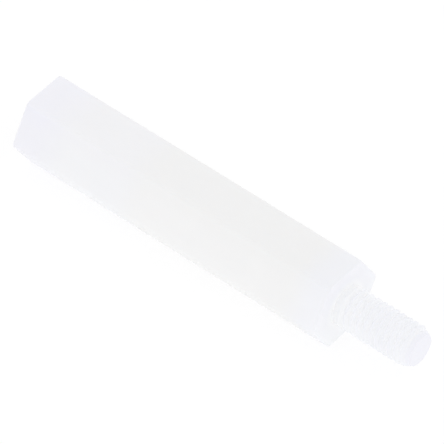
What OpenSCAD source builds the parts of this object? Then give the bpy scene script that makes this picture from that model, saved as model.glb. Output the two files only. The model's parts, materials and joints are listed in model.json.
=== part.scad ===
// Male-female hex standoff, moulded in natural nylon and lying on one of its flats.
// Millimetres. The long axis runs along X with the stud towards +X, and the lowest flat is on z = 0.

/* [Hex body] */
// Width of the body across two opposite flats
across_flats = 5.5; // [5:0.1:8]
// Length of the body between its two end faces
body_length = 25; // [14:0.5:60]
// Radius of the rounding on the long edges
edge_round = 0.4; // [0.1:0.05:0.5]
// Radius of the rounding round both end faces
end_round = 0.15; // [0.05:0.05:0.3]

/* [Stud] */
// Diameter of the stud over the crests of its thread
stud_d = 2.9; // [2:0.05:3.6]
// Length of the stud from the shoulder to its tip
stud_length = 6; // [4:0.5:12]
// Length of the cone that leads the stud into a hole
lead_in_length = 0.7; // [0.2:0.1:1.2]
// Drop of that cone below the crests, measured at the tip
lead_in_drop = 0.35; // [0.1:0.05:0.6]

/* [Socket] */
// Diameter of the socket inside the crests of its thread
socket_d = 2.5; // [1.6:0.05:2.8]
// Depth of the socket from the end face to the start of its closing cone
socket_depth = 10; // [6:0.5:12]
// Full angle of the cone that closes the socket
socket_point_angle = 118; // [90:1:150]
// Width and depth of the chamfer round the mouth of the socket
mouth_chamfer = 0.35; // [0.1:0.05:0.4]

/* [Hidden] */
$fn = 96;

// Angle between one flat and the next
flat_step = 60;
// How far a cutting shape runs past the face that it cuts
cut_margin = 2;
// How far the stud's core runs back into the body, so that the two are one solid
stud_overlap = 1;

// The whole length is centred on the origin
socket_end_x = -(body_length + stud_length) / 2;
body_mid_x = socket_end_x + body_length / 2;
shoulder_x = socket_end_x + body_length;
axis_z = across_flats / 2;

// From the axis to the centre of the rounding on a long edge
corner_reach = (across_flats / 2 - edge_round) / cos(flat_step / 2);
// Width that each flat keeps plane between its two roundings
plane_width = 2 * corner_reach * sin(flat_step / 2);
// Each pair of flats is a slab that is wider than the body's corners
slab_width = 2 * across_flats;

// Radius at which the cut for the socket's mouth starts, outside the end face
chamfer_start_r = socket_d / 2 + mouth_chamfer + cut_margin;
socket_point_length = socket_d / 2 / tan(socket_point_angle / 2);

// Lays a shape that is built along Z on the body's axis, starting at the given place
module on_axis(start_x) {
    translate([start_x, 0, axis_z])
        rotate([0, 90, 0])
            children();
}

// Section of the body: a hexagon with round corners
module hex_section() {
    for (turn = [0:flat_step:2 * flat_step])
        rotate(turn)
            square([across_flats, plane_width], center = true);
    for (turn = [flat_step / 2:flat_step:360])
        rotate(turn)
            translate([corner_reach, 0])
                circle(r = edge_round);
}

// Side view of one pair of flats: a long rectangle with round corners
module flat_pair_profile() {
    square([body_length, across_flats - 2 * end_round], center = true);
    square([body_length - 2 * end_round, across_flats], center = true);
    for (end = [-1, 1])
        for (side = [-1, 1])
            translate([end * (body_length / 2 - end_round), side * (across_flats / 2 - end_round)])
                circle(r = end_round);
}

// One pair of flats as a slab round the X axis, with the rounding of its end edges
module flat_pair(turn) {
    rotate([90 + turn, 0, 0])
        linear_extrude(height = slab_width, center = true)
            flat_pair_profile();
}

// Hexagonal bar: the section rounds its long edges, and each pair of flats its own end edges
module hex_body() {
    translate([body_mid_x, 0, axis_z])
        intersection() {
            rotate([0, 90, 0])
                linear_extrude(height = body_length + cut_margin, center = true)
                    hex_section();
            flat_pair(0);
            flat_pair(flat_step);
            flat_pair(2 * flat_step);
        }
}

// Round stud over the crests of its thread, with the lead-in cone at its tip
module stud() {
    on_axis(shoulder_x)
        rotate_extrude()
            polygon([
                [0, -stud_overlap],
                [stud_d / 2, -stud_overlap],
                [stud_d / 2, stud_length - lead_in_length],
                [stud_d / 2 - lead_in_drop, stud_length],
                [0, stud_length]
            ]);
}

// Blind socket inside the crests of its thread, with a chamfered mouth and a cone at its bottom
module socket() {
    on_axis(socket_end_x)
        rotate_extrude()
            polygon([
                [0, -cut_margin],
                [chamfer_start_r, -cut_margin],
                [socket_d / 2, mouth_chamfer],
                [socket_d / 2, socket_depth],
                [0, socket_depth + socket_point_length]
            ]);
}

// Body, stud and socket are moulded as one piece
module standoff() {
    color([0.93, 0.93, 0.94])
        difference() {
            union() {
                hex_body();
                stud();
            }
            socket();
        }
}

standoff();
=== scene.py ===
import json
from functools import partial
from math import cos, pi, radians, sin

import bmesh
import bpy
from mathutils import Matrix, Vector


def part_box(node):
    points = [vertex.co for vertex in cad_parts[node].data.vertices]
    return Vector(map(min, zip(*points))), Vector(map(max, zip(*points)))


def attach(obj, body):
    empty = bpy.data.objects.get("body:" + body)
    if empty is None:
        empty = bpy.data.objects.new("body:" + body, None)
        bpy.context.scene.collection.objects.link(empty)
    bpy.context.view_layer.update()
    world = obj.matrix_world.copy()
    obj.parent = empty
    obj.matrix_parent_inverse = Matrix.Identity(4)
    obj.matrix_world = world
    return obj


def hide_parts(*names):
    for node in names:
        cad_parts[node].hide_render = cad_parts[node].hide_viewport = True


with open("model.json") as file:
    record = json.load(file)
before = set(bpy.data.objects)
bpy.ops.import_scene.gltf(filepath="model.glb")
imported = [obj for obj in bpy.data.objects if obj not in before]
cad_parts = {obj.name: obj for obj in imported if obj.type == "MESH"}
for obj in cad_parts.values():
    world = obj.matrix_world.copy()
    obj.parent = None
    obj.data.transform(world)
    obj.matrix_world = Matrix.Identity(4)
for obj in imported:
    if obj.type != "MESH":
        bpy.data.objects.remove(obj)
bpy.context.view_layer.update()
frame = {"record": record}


# ---------------------------------------------------------------- hexagonal body
# The body of a male-female standoff: a hexagonal bar of natural nylon, injection moulded in one shot
# with its stud and its socket. The mould leaves every edge slightly round and every flat plane.

low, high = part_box("standoff")
mounts = {mount["name"]: mount for mount in frame["record"]["mounts"]}
across_flats = high.z - low.z
axis_z = (low.z + high.z) / 2
socket_face_x = mounts["socket_face"]["pos_m"][0]
shoulder_x = mounts["shoulder"]["pos_m"][0]
tip_x = high.x

edge_round = 0.0004
end_round = 0.00015

lead_in_length = 0.0007
lead_in_drop = 0.00035
stud_thread_depth = 0.00023
neck_drop = 0.00008
collar_width = 0.0001
stud_r = mounts["stud"]["dims"]["r_mm"] / 1000
stud_root_r = stud_r - stud_thread_depth
stud_neck_r = stud_r - neck_drop
stud_collar_r = stud_r + collar_width
stud_tip_r = stud_r - lead_in_drop

mouth_chamfer = 0.00035
socket_depth = 0.010
socket_point_length = 0.00075
socket_thread_depth = 0.00026
socket_r = mounts["socket"]["dims"]["r_mm"] / 1000
socket_root_r = socket_r + socket_thread_depth
socket_mouth_r = socket_r + mouth_chamfer
socket_bottom_x = socket_face_x + socket_depth

# Every ring of the surface has the same number of points: a hexagon has half an arc, a flat and half
# an arc on each of its sides, and a circle has them evenly spaced
corner_reach = (across_flats / 2 - edge_round) / cos(radians(30))
arc_steps = 3
flat_shares = [0.02] + [step / 8 for step in range(1, 8)] + [0.98]

hexagon = []
for side in range(6):
    start_angle = radians(60 * side)
    end_angle = radians(60 * side + 60)
    start = corner_reach * Vector((cos(start_angle), sin(start_angle)))
    end = corner_reach * Vector((cos(end_angle), sin(end_angle)))
    for step in range(arc_steps + 1):
        hexagon.append((start, start_angle + radians(30) * step / arc_steps))
    for share in flat_shares:
        hexagon.append((start.lerp(end, share), start_angle + radians(30)))
    for step in range(arc_steps, 0, -1):
        hexagon.append((end, end_angle - radians(30) * step / arc_steps))
points_round = len(hexagon)


def hexagon_ring(x, offset):
    """The round-cornered hexagon at x, at an offset from the centres of its roundings."""
    return [
        Vector((x, core.x + offset * cos(facing), axis_z + core.y + offset * sin(facing)))
        for core, facing in hexagon
    ]


def circle_ring(x, radius):
    """A circle at x round the standoff's axis."""
    angles = [2 * pi * point / points_round for point in range(points_round)]
    return [Vector((x, radius * cos(angle), axis_z + radius * sin(angle))) for angle in angles]


def skin(mesh, rings, centre=None):
    """Faces from each ring to the next, and from the last one to a centre if there is one."""
    rows = [[mesh.verts.new(place) for place in ring] for ring in rings]
    for row, following in zip(rows, rows[1:]):
        for point in range(points_round):
            beside = (point + 1) % points_round
            mesh.faces.new((row[point], row[beside], following[beside], following[point]))
    if centre is not None:
        middle = mesh.verts.new(centre)
        for point in range(points_round):
            mesh.faces.new((rows[-1][point], rows[-1][(point + 1) % points_round], middle))


# A narrow strip beside each end's rounding keeps the shading of the flats and of the end face plane
strip = 0.00005
plane_start_x = socket_face_x + end_round + strip
plane_end_x = shoulder_x - end_round - strip
plane_steps = 30
rounding_steps = 6
rounding = []
for step in range(rounding_steps + 1):
    angle = radians(90) * step / rounding_steps
    rounding.append((end_round * (1 - cos(angle)), end_round * (1 - sin(angle))))

body_rings = [circle_ring(socket_face_x, socket_mouth_r)]
body_rings.append(hexagon_ring(socket_face_x, edge_round - end_round - strip))
for depth, inset in rounding:
    body_rings.append(hexagon_ring(socket_face_x + depth, edge_round - inset))
for step in range(plane_steps + 1):
    x = plane_start_x + (plane_end_x - plane_start_x) * step / plane_steps
    body_rings.append(hexagon_ring(x, edge_round))
for depth, inset in reversed(rounding):
    body_rings.append(hexagon_ring(shoulder_x - depth, edge_round - inset))
body_rings.append(hexagon_ring(shoulder_x, edge_round - end_round - strip))
body_rings.append(circle_ring(shoulder_x, stud_collar_r))

shell = bmesh.new()
skin(shell, body_rings)

# The flat tip of the stud, and the cone that closes the socket
tip_shares = (1, 0.97, 0.66, 0.33)
skin(shell, [circle_ring(tip_x, stud_tip_r * share) for share in tip_shares], (tip_x, 0, axis_z))
cone_rings = [
    circle_ring(socket_bottom_x + socket_point_length * share, socket_r * (1 - share))
    for share in (0, 0.25, 0.5, 0.75)
]
skin(shell, cone_rings, (socket_bottom_x + socket_point_length, 0, axis_z))


# ---------------------------------------------------------------- nylon
# Undyed nylon as it comes from the mould: milky, a little translucent, satin, with faint clouding
# and the fine grain of the mould's wall. Its thin places look cooler than its thick middle, and the
# light and shade on its parts are partly painted into its colour.

nylon = bpy.data.materials.new("natural_nylon")
nylon.use_nodes = True
nylon_links = nylon.node_tree.links
nylon_shader = nylon.node_tree.nodes["Principled BSDF"]
nylon_shader.inputs["IOR"].default_value = 1.53
nylon_shader.inputs["Subsurface Weight"].default_value = 0.1
nylon_shader.inputs["Subsurface Radius"].default_value = (1.0, 0.95, 0.9)
nylon_shader.inputs["Subsurface Scale"].default_value = 0.001


def tree_node(tree, kind, links=(), values=(), **settings):
    """A node of the tree, with its inputs linked or given their values."""
    made = tree.nodes.new(kind)
    for name, value in settings.items():
        setattr(made, name, value)
    for name, source in links:
        tree.links.new(source, made.inputs[name])
    for name, value in values:
        made.inputs[name].default_value = value
    return made


nylon_node = partial(tree_node, nylon.node_tree)


def rise(distance, start, end):
    """A mask that goes smoothly from 0 where the distance is start to 1 where it is end."""
    made = nylon_node(
        "ShaderNodeMapRange",
        [("Value", distance)],
        [("From Min", start), ("From Max", end)],
        interpolation_type="SMOOTHSTEP",
    )
    return made.outputs["Result"]


def tint(mask, below, above):
    """One colour where the mask is 0 and the other where it is 1."""
    made = nylon_node("ShaderNodeMix", [("Factor", mask)], data_type="RGBA")
    # A mix node's two colours are its inputs 6 and 7, and the mixed one is its output 2
    for index, colour in ((6, below), (7, above)):
        if isinstance(colour, tuple):
            made.inputs[index].default_value = (*colour, 1)
        else:
            nylon_links.new(colour, made.inputs[index])
    return made.outputs[2]


def lighten(colour, mask, gain):
    """The colour made lighter, by the whole gain where the mask is 1."""
    factor = nylon_node("ShaderNodeMath", [(0, mask)], [(1, gain), (2, 1.0)], operation="MULTIPLY_ADD")
    made = nylon_node(
        "ShaderNodeVectorMath",
        [("Vector", colour), ("Scale", factor.outputs["Value"])],
        operation="SCALE",
    )
    return made.outputs["Vector"]


place = nylon_node("ShaderNodeTexCoord").outputs["Object"]
place_parts = nylon_node("ShaderNodeSeparateXYZ", [("Vector", place)]).outputs
along = place_parts["X"]
height = place_parts["Z"]

# How far a place is from the standoff's axis
across = nylon_node(
    "ShaderNodeVectorMath", [(0, place)], [(1, (0, 1, 1)), (2, (0, 0, -axis_z))], operation="MULTIPLY_ADD"
)
off_axis = nylon_node("ShaderNodeVectorMath", [(0, across.outputs[0])], operation="LENGTH").outputs["Value"]

# Painted light: the body is hollow round the socket and solid in the middle, and the light that
# reaches far into both ends is painted into the colour. The glow of the table that comes up through it
# is painted too, so each side flat is lighter than the top one, and more so towards its foot. The two
# ridges beside the top flat are painted darker near the socket, as painted shade.
past_end = rise(along, socket_face_x + 0.001, socket_face_x + 0.0045)
past_hollow = rise(along, socket_bottom_x - 0.002, socket_bottom_x + 0.0005)
near_shoulder = rise(along, shoulder_x - 0.003, shoulder_x - 0.0008)


def painted_light_zones(end, hollow, thick, shoulder):
    """The colour along the body, from the socket's end past the hollow part to the shoulder, with painted
    light where light passes through the thin wall.
    """
    zones = tint(past_hollow, hollow, thick)
    zones = tint(past_end, end, zones)
    return tint(near_shoulder, zones, shoulder)


thick_top_colour = (0.902, 0.901, 0.902)
shoulder_top_colour = (0.898, 0.905, 0.942)
# Painted light: the top flat is painted lighter round the hollow part and cooler at both ends.
top_colour = painted_light_zones(
    end=(0.899, 0.899, 0.953),
    hollow=(0.908, 0.907, 0.927),
    thick=thick_top_colour,
    shoulder=shoulder_top_colour,
)
# Painted shade: the ridges are painted darker than the top flat near the socket.
ridge_painted_shade_colour = painted_light_zones(
    end=(0.885, 0.885, 0.953),
    hollow=(0.902, 0.901, 0.927),
    thick=thick_top_colour,
    shoulder=shoulder_top_colour,
)
# Painted light: the side flats are lighter copies of the top flat's colours.
side_painted_light_colour = painted_light_zones(
    end=(0.893, 0.893, 0.946),
    hollow=(0.913, 0.917, 0.939),
    thick=(0.916, 0.915, 0.918),
    shoulder=(0.911, 0.918, 0.956),
)
on_ridge = rise(height, high.z - 0.00003, high.z - 0.00025)
on_side_flat = rise(height, high.z - 0.0001, high.z - 0.0014)
side_foot_painted_light = rise(height, axis_z + 0.0010, axis_z)
body_colour = tint(on_ridge, top_colour, ridge_painted_shade_colour)
body_colour = tint(on_side_flat, body_colour, side_painted_light_colour)
# Painted light: the side flats are painted lighter still towards their foot.
body_colour = lighten(body_colour, side_foot_painted_light, 0.006)

# Painted light: the light that passes through the corner where the stud leaves the end face, and
# through the turns of the thread, is painted into the colour, so that corner and the thread's roots
# are painted lighter, not as dark as opaque ones would be. The end face is painted lighter towards
# its foot, and the stud towards the body.
corner_painted_light_colour = (0.989, 0.993, 1.0)
face_top_colour = (0.927, 0.931, 0.976)
face_foot_painted_light_colour = (0.942, 0.950, 0.970)
outer_root_painted_light_colour = (0.959, 0.966, 0.990)
inner_root_painted_light_colour = (0.972, 0.979, 0.992)
outer_crest_colour = (0.917, 0.926, 0.970)
inner_crest_painted_light_colour = (0.938, 0.946, 0.978)
# Painted light: the stud's foot is painted lighter against the shade where it leaves the end face.
foot_painted_light_colour = (0.967, 0.974, 0.986)
# Painted shade: the tip is painted darker, with a cooler tint.
tip_painted_shade_colour = (0.895, 0.897, 0.960)
down_the_face = rise(height, high.z, low.z)
past_corner = rise(off_axis, stud_r - 0.0001, stud_r + 0.0006)
# Painted light: the end face grows lighter towards its foot and towards the stud.
end_face_colour = tint(down_the_face, face_top_colour, face_foot_painted_light_colour)
end_face_colour = tint(past_corner, corner_painted_light_colour, end_face_colour)

# How deep below the crests a place is. Near the tip the lead-in cone cuts the crests down.
lead_in_slope = lead_in_drop / lead_in_length
cone_r = nylon_node(
    "ShaderNodeMath",
    [(0, along)],
    [(1, -lead_in_slope), (2, stud_tip_r + lead_in_slope * tip_x)],
    operation="MULTIPLY_ADD",
).outputs["Value"]
crest_r = nylon_node("ShaderNodeMath", [(0, cone_r)], [(1, stud_r)], operation="MINIMUM").outputs["Value"]
below_crest = nylon_node(
    "ShaderNodeMath", [(0, crest_r), (1, off_axis)], operation="SUBTRACT"
).outputs["Value"]
in_root = rise(below_crest, 0, 0.0001)
outward = rise(along, shoulder_x + 0.0005, shoulder_x + 0.0035)
past_foot = rise(along, shoulder_x + 0.0001, shoulder_x + 0.0009)
at_tip = rise(along, tip_x - 0.0004, tip_x - 0.0001)
# Painted light: the thread's roots are painted lighter than its crests, and the stud lighter towards the
# body.
crest_colour = tint(outward, inner_crest_painted_light_colour, outer_crest_colour)
root_painted_light_colour = tint(outward, inner_root_painted_light_colour, outer_root_painted_light_colour)
stud_colour = tint(in_root, crest_colour, root_painted_light_colour)
stud_colour = tint(past_foot, foot_painted_light_colour, stud_colour)
stud_colour = tint(at_tip, stud_colour, tip_painted_shade_colour)

# Body, end face and stud meet at the shoulder
on_end_face = rise(along, shoulder_x - 0.00006, shoulder_x - 0.00001)
on_stud = rise(along, shoulder_x + 0.00001, shoulder_x + 0.0001)
colour = tint(on_end_face, body_colour, end_face_colour)
colour = tint(on_stud, colour, stud_colour)

clouding = nylon_node(
    "ShaderNodeTexNoise", [("Vector", place)], [("Scale", 420), ("Detail", 3), ("Roughness", 0.55)]
)
cloud_light = nylon_node(
    "ShaderNodeMapRange", [("Value", clouding.outputs["Fac"])], [("To Min", 0.985), ("To Max", 1.015)]
)
clouded = nylon_node(
    "ShaderNodeVectorMath",
    [("Vector", colour), ("Scale", cloud_light.outputs["Result"])],
    operation="SCALE",
)
nylon_links.new(clouded.outputs["Vector"], nylon_shader.inputs["Base Color"])

sheen_patches = nylon_node(
    "ShaderNodeTexNoise", [("Vector", place)], [("Scale", 900), ("Detail", 4), ("Roughness", 0.6)]
)
satin = nylon_node(
    "ShaderNodeMapRange", [("Value", sheen_patches.outputs["Fac"])], [("To Min", 0.36), ("To Max", 0.52)]
)
nylon_links.new(satin.outputs["Result"], nylon_shader.inputs["Roughness"])

# The mould's wall leaves a fine grain, and the melt leaves faint lines that run along the standoff
grain = nylon_node(
    "ShaderNodeTexNoise", [("Vector", place)], [("Scale", 9000), ("Detail", 3), ("Roughness", 0.6)]
)
flow = nylon_node("ShaderNodeMapping", [("Vector", place)], [("Scale", (0.12, 1, 1))])
flow_lines = nylon_node(
    "ShaderNodeTexNoise",
    [("Vector", flow.outputs["Vector"])],
    [("Scale", 1800), ("Detail", 2), ("Roughness", 0.5)],
)
relief = nylon_node(
    "ShaderNodeMath",
    [(0, grain.outputs["Fac"]), (1, flow_lines.outputs["Fac"])],
    operation="ADD",
)
mould_skin = nylon_node(
    "ShaderNodeBump",
    [("Height", relief.outputs["Value"])],
    [("Strength", 0.25), ("Distance", 0.000006)],
)
nylon_links.new(mould_skin.outputs["Normal"], nylon_shader.inputs["Normal"])


# ---------------------------------------------------------------- screw threads
# The M3 x 0.5 thread of the stud and the one in the socket, both right hand and moulded with the
# body. Their crests and roots are round, the stud's fades out over two turns before the shoulder, it
# has a lead-in cone, and the socket has a chamfered mouth.

thread_tree = bpy.data.node_groups.new("screw_thread", "GeometryNodeTree")
thread_node = partial(tree_node, thread_tree)
thread_inputs = {}
for name, kind in (
    ("Start", "NodeSocketVector"),
    ("Facing", "NodeSocketFloat"),
    ("Length", "NodeSocketFloat"),
    ("Pitch", "NodeSocketFloat"),
    ("Crest radius", "NodeSocketFloat"),
    ("Root radius", "NodeSocketFloat"),
    ("Crest share", "NodeSocketFloat"),
    ("Root share", "NodeSocketFloat"),
    ("Collar radius", "NodeSocketFloat"),
    ("Neck radius", "NodeSocketFloat"),
    ("Run-out", "NodeSocketFloat"),
    ("End radius", "NodeSocketFloat"),
    ("End slope", "NodeSocketFloat"),
    ("Outside", "NodeSocketFloat"),
    ("Points round", "NodeSocketInt"),
    ("Rows a turn", "NodeSocketInt"),
    ("Material", "NodeSocketMaterial"),
):
    thread_input = thread_tree.interface.new_socket(name=name, in_out="INPUT", socket_type=kind)
    thread_inputs[name] = thread_input.identifier
thread_tree.interface.new_socket(name="Geometry", in_out="OUTPUT", socket_type="NodeSocketGeometry")
given = thread_node("NodeGroupInput").outputs


def calculate(operation, first, second=0.0):
    """One step of the thread's arithmetic, on sockets or plain numbers."""
    made = thread_node("ShaderNodeMath", operation=operation)
    for index, value in enumerate((first, second)):
        if isinstance(value, bpy.types.NodeSocket):
            thread_tree.links.new(value, made.inputs[index])
        else:
            made.inputs[index].default_value = value
    return made.outputs["Value"]


# A flat grid of points: one way goes round the axis, the other along the thread's profile
turns = calculate("ADD", calculate("CEIL", calculate("DIVIDE", given["Length"], given["Pitch"])), 1)
rows = calculate("ADD", calculate("MULTIPLY", turns, given["Rows a turn"]), 2)
grid = thread_node(
    "GeometryNodeMeshGrid",
    [("Vertices X", calculate("ADD", given["Points round"], 1)), ("Vertices Y", rows)],
    [("Size X", 1), ("Size Y", 1)],
)
spot = thread_node("ShaderNodeSeparateXYZ", [(0, thread_node("GeometryNodeInputPosition").outputs[0])])
turn_share = calculate("ADD", spot.outputs["X"], 0.5)
turn_angle = calculate("MULTIPLY", turn_share, 2 * pi)
row = calculate("MULTIPLY", calculate("ADD", spot.outputs["Y"], 0.5), calculate("SUBTRACT", rows, 1))
row = calculate("ROUND", row)

# Each row climbs one pitch on its way round, and stops at the two ends of the thread
climb = calculate("DIVIDE", calculate("SUBTRACT", row, 1), given["Rows a turn"])
climb = calculate("ADD", calculate("SUBTRACT", climb, 1), turn_share)
reach = calculate("MULTIPLY", climb, given["Pitch"])
reach = calculate("MINIMUM", calculate("MAXIMUM", reach, 0), given["Length"])

# Radius over crest and root, faded to the neck near the start and cut by the cone at the end
phase = calculate("FRACT", calculate("SUBTRACT", calculate("DIVIDE", reach, given["Pitch"]), turn_share))
off_crest = calculate("ABSOLUTE", calculate("SUBTRACT", phase, 0.5))
profile = thread_node(
    "ShaderNodeMapRange",
    [
        ("Value", off_crest),
        ("From Min", calculate("MULTIPLY", given["Crest share"], 0.5)),
        ("From Max", calculate("SUBTRACT", 0.5, calculate("MULTIPLY", given["Root share"], 0.5))),
        ("To Min", given["Crest radius"]),
        ("To Max", given["Root radius"]),
    ],
    interpolation_type="SMOOTHSTEP",
)
faded = thread_node(
    "ShaderNodeMapRange",
    [
        ("Value", reach),
        ("From Max", given["Run-out"]),
        ("To Min", given["Neck radius"]),
        ("To Max", profile.outputs["Result"]),
    ],
    interpolation_type="SMOOTHSTEP",
)
cone = calculate("MULTIPLY", calculate("SUBTRACT", given["Length"], reach), given["End slope"])
cone = calculate("ADD", cone, given["End radius"])

# An outside thread keeps the smaller of the two radii and an inside one the larger
radius = calculate(
    "MINIMUM",
    calculate("MULTIPLY", given["Outside"], faded.outputs["Result"]),
    calculate("MULTIPLY", given["Outside"], cone),
)
radius = calculate("MULTIPLY", radius, given["Outside"])

# The first row is a plain circle in the plane where the thread starts
first_row = calculate("LESS_THAN", row, 0.5)
radius = calculate(
    "ADD",
    calculate("MULTIPLY", radius, calculate("SUBTRACT", 1, first_row)),
    calculate("MULTIPLY", given["Collar radius"], first_row),
)

# A thread that faces the other way is turned half round, which keeps it right hand
turned_radius = calculate("MULTIPLY", radius, given["Facing"])
rolled = thread_node(
    "ShaderNodeCombineXYZ",
    [
        ("X", calculate("MULTIPLY", reach, given["Facing"])),
        ("Y", calculate("MULTIPLY", turned_radius, calculate("COSINE", turn_angle))),
        ("Z", calculate("MULTIPLY", radius, calculate("SINE", turn_angle))),
    ],
)
placed = thread_node("ShaderNodeVectorMath", [(0, rolled.outputs[0]), (1, given["Start"])], operation="ADD")
moved = thread_node(
    "GeometryNodeSetPosition", [("Geometry", grid.outputs["Mesh"]), ("Position", placed.outputs[0])]
)
weld_distance = 0.000001
merged = thread_node(
    "GeometryNodeMergeByDistance", [("Geometry", moved.outputs[0])], [("Distance", weld_distance)]
)
realized = thread_node("GeometryNodeRealizeInstances", [("Geometry", merged.outputs[0])])
finished = thread_node(
    "GeometryNodeSetMaterial", [("Geometry", realized.outputs[0]), ("Material", given["Material"])]
)
thread_node("NodeGroupOutput", [("Geometry", finished.outputs[0])])


def screw_thread(name, sizes):
    """The plain mesh of one thread, made by the tree above."""
    carrier = bpy.data.objects.new(name, bpy.data.meshes.new(name))
    bpy.context.collection.objects.link(carrier)
    modifier = carrier.modifiers.new("thread", "NODES")
    modifier.node_group = thread_tree
    for input_name, value in sizes.items():
        modifier[thread_inputs[input_name]] = value
    depsgraph = bpy.context.evaluated_depsgraph_get()
    mesh = bpy.data.meshes.new_from_object(carrier.evaluated_get(depsgraph))
    bpy.data.objects.remove(carrier)
    return mesh


thread_pitch = 0.0005
stud_thread = screw_thread(
    "stud_thread",
    {
        "Start": (shoulder_x, 0.0, axis_z),
        "Facing": 1.0,
        "Length": tip_x - shoulder_x,
        "Pitch": thread_pitch,
        "Crest radius": stud_r,
        "Root radius": stud_root_r,
        "Crest share": 0.10,
        "Root share": 0.16,
        "Collar radius": stud_collar_r,
        "Neck radius": stud_neck_r,
        "Run-out": 0.0010,
        "End radius": stud_tip_r,
        "End slope": lead_in_drop / lead_in_length,
        "Outside": 1.0,
        "Points round": points_round,
        "Rows a turn": 14,
        "Material": nylon,
    },
)
socket_thread = screw_thread(
    "socket_thread",
    {
        "Start": (socket_bottom_x, 0.0, axis_z),
        "Facing": -1.0,
        "Length": socket_bottom_x - socket_face_x,
        "Pitch": thread_pitch,
        "Crest radius": socket_r,
        "Root radius": socket_root_r,
        "Crest share": 0.16,
        "Root share": 0.10,
        "Collar radius": socket_r,
        "Neck radius": socket_r,
        "Run-out": 0.0005,
        "End radius": socket_mouth_r,
        "End slope": -1.0,
        "Outside": -1.0,
        "Points round": points_round,
        "Rows a turn": 12,
        "Material": nylon,
    },
)


# ---------------------------------------------------------------- the standoff, in one piece
# Body, stud and socket leave the mould as one piece of nylon, so their surfaces are welded into one
# closed skin.

for thread_mesh in (stud_thread, socket_thread):
    shell.from_mesh(thread_mesh)
    bpy.data.meshes.remove(thread_mesh)
bmesh.ops.remove_doubles(shell, verts=shell.verts, dist=weld_distance)
bmesh.ops.recalc_face_normals(shell, faces=shell.faces)
standoff_mesh = bpy.data.meshes.new("moulded_standoff")
shell.to_mesh(standoff_mesh)
shell.free()
standoff_mesh.materials.clear()
standoff_mesh.materials.append(nylon)
standoff_mesh.polygons.foreach_set("use_smooth", [True] * len(standoff_mesh.polygons))
standoff_mesh.set_sharp_from_angle(angle=radians(35))
standoff = bpy.data.objects.new("moulded_standoff", standoff_mesh)
bpy.context.collection.objects.link(standoff)
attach(standoff, "root")
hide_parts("standoff")


# ---------------------------------------------------------------- table top
# A plain white light table that the standoff lies on. Its glow reaches the standoff's undersides,
# and its matt surface keeps the standoff's soft shadow.

table_reach = 0.6
table_mesh = bpy.data.meshes.new("white_table")
table_corners = [(-table_reach, -table_reach), (table_reach, -table_reach)]
table_corners += [(table_reach, table_reach), (-table_reach, table_reach)]
table_mesh.from_pydata([(x, y, 0) for x, y in table_corners], [], [(0, 1, 2, 3)])
table = bpy.data.objects.new("white_table", table_mesh)
bpy.context.collection.objects.link(table)

table_white = bpy.data.materials.new("table_white")
table_white.use_nodes = True
table_tree = table_white.node_tree
table_tree.nodes.remove(table_tree.nodes["Principled BSDF"])
table_node = partial(tree_node, table_tree)


def glowing_matt(glow, grey):
    """A surface that gives off some light of its own and reflects a share of the light on it."""
    emission = table_node("ShaderNodeEmission", values=[("Strength", glow)])
    diffuse = table_node("ShaderNodeBsdfDiffuse", values=[("Color", (grey, grey, grey, 1))])
    both = table_node("ShaderNodeAddShader", [(0, emission.outputs[0]), (1, diffuse.outputs[0])])
    return both.outputs[0]


def seen_itself(tree):
    """A mask of the rays that show the surface itself: to the camera, in a gloss or through glass."""
    rays = tree_node(tree, "ShaderNodeLightPath").outputs
    mask = rays["Is Camera Ray"]
    for name in ("Is Glossy Ray", "Is Transmission Ray"):
        either = tree_node(tree, "ShaderNodeMath", [(0, mask), (1, rays[name])], operation="MAXIMUM")
        mask = either.outputs[0]
    return mask


# The first surface lights the standoff, and the second is the table as it is seen
table_look = table_node(
    "ShaderNodeMixShader",
    [
        ("Fac", seen_itself(table_tree)),
        (1, glowing_matt(glow=0.70, grey=0.33)),
        (2, glowing_matt(glow=0.665, grey=0.36)),
    ],
)
table_tree.links.new(table_look.outputs[0], table_tree.nodes["Material Output"].inputs["Surface"])
table_mesh.materials.append(table_white)


# ---------------------------------------------------------------- studio light
# A white light tent, which gives even light from all round, and one large, weak, round soft lamp in
# front of the standoff.

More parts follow.
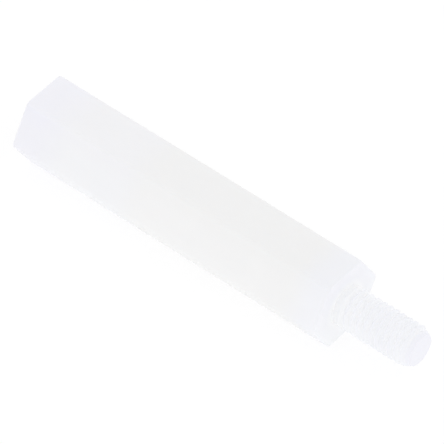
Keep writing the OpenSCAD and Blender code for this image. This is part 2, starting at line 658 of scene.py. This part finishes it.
tent = bpy.data.worlds.new("light_tent")
tent.use_nodes = True
bpy.context.scene.world = tent
tent_tree = tent.node_tree
tent_light = tent_tree.nodes["Background"]
tent_light.inputs["Color"].default_value = (1, 1, 1, 1)
tent_light.inputs["Strength"].default_value = 0.97
tent_wall = tree_node(tent_tree, "ShaderNodeBackground", values=[("Color", (1, 1, 1, 1))])
tent_look = tree_node(
    tent_tree,
    "ShaderNodeMixShader",
    [("Fac", seen_itself(tent_tree)), (1, tent_light.outputs[0]), (2, tent_wall.outputs[0])],
)
tent_tree.links.new(tent_look.outputs[0], tent_tree.nodes["World Output"].inputs["Surface"])

object_middle = Vector(((low.x + high.x) / 2, 0, axis_z))
lamp_distance = 0.35
towards_lamp = Vector((0.1, -1.0, 0.35)).normalized()
lamp_data = bpy.data.lights.new("front_softbox", "AREA")
lamp_data.shape = "DISK"
lamp_data.size = 0.2
lamp_data.energy = 0.003
lamp = bpy.data.objects.new("front_softbox", lamp_data)
bpy.context.collection.objects.link(lamp)
lamp.location = object_middle + lamp_distance * towards_lamp
lamp.rotation_mode = "QUATERNION"
lamp.rotation_quaternion = (object_middle - lamp.location).to_track_quat("-Z", "Y")


# ---------------------------------------------------------------- camera
# A long lens that looks down on the standoff from in front of its stud, which points to the right
# and towards the lens. The socket's end is hidden.

view_azimuth = radians(39.9)
view_elevation = radians(47.7)
camera_distance = 0.411
aim_left = 0.00045
aim_up = 0.00065
backward = Vector((
    cos(view_elevation) * sin(view_azimuth),
    -cos(view_elevation) * cos(view_azimuth),
    sin(view_elevation),
))
rightward = Vector((cos(view_azimuth), sin(view_azimuth), 0))
upward = backward.cross(rightward)
aim = object_middle - aim_left * rightward + aim_up * upward

camera_data = bpy.data.cameras.new("camera")
camera_data.lens = 527
camera_data.sensor_width = 36
camera_data.clip_start = 0.01
camera_data.clip_end = 10
camera = bpy.data.objects.new("camera", camera_data)
bpy.context.collection.objects.link(camera)
camera.location = aim + camera_distance * backward
camera.rotation_mode = "QUATERNION"
camera.rotation_quaternion = (-backward).to_track_quat("-Z", "Y")
bpy.context.scene.camera = camera
bpy.context.scene.view_settings.view_transform = "Standard"
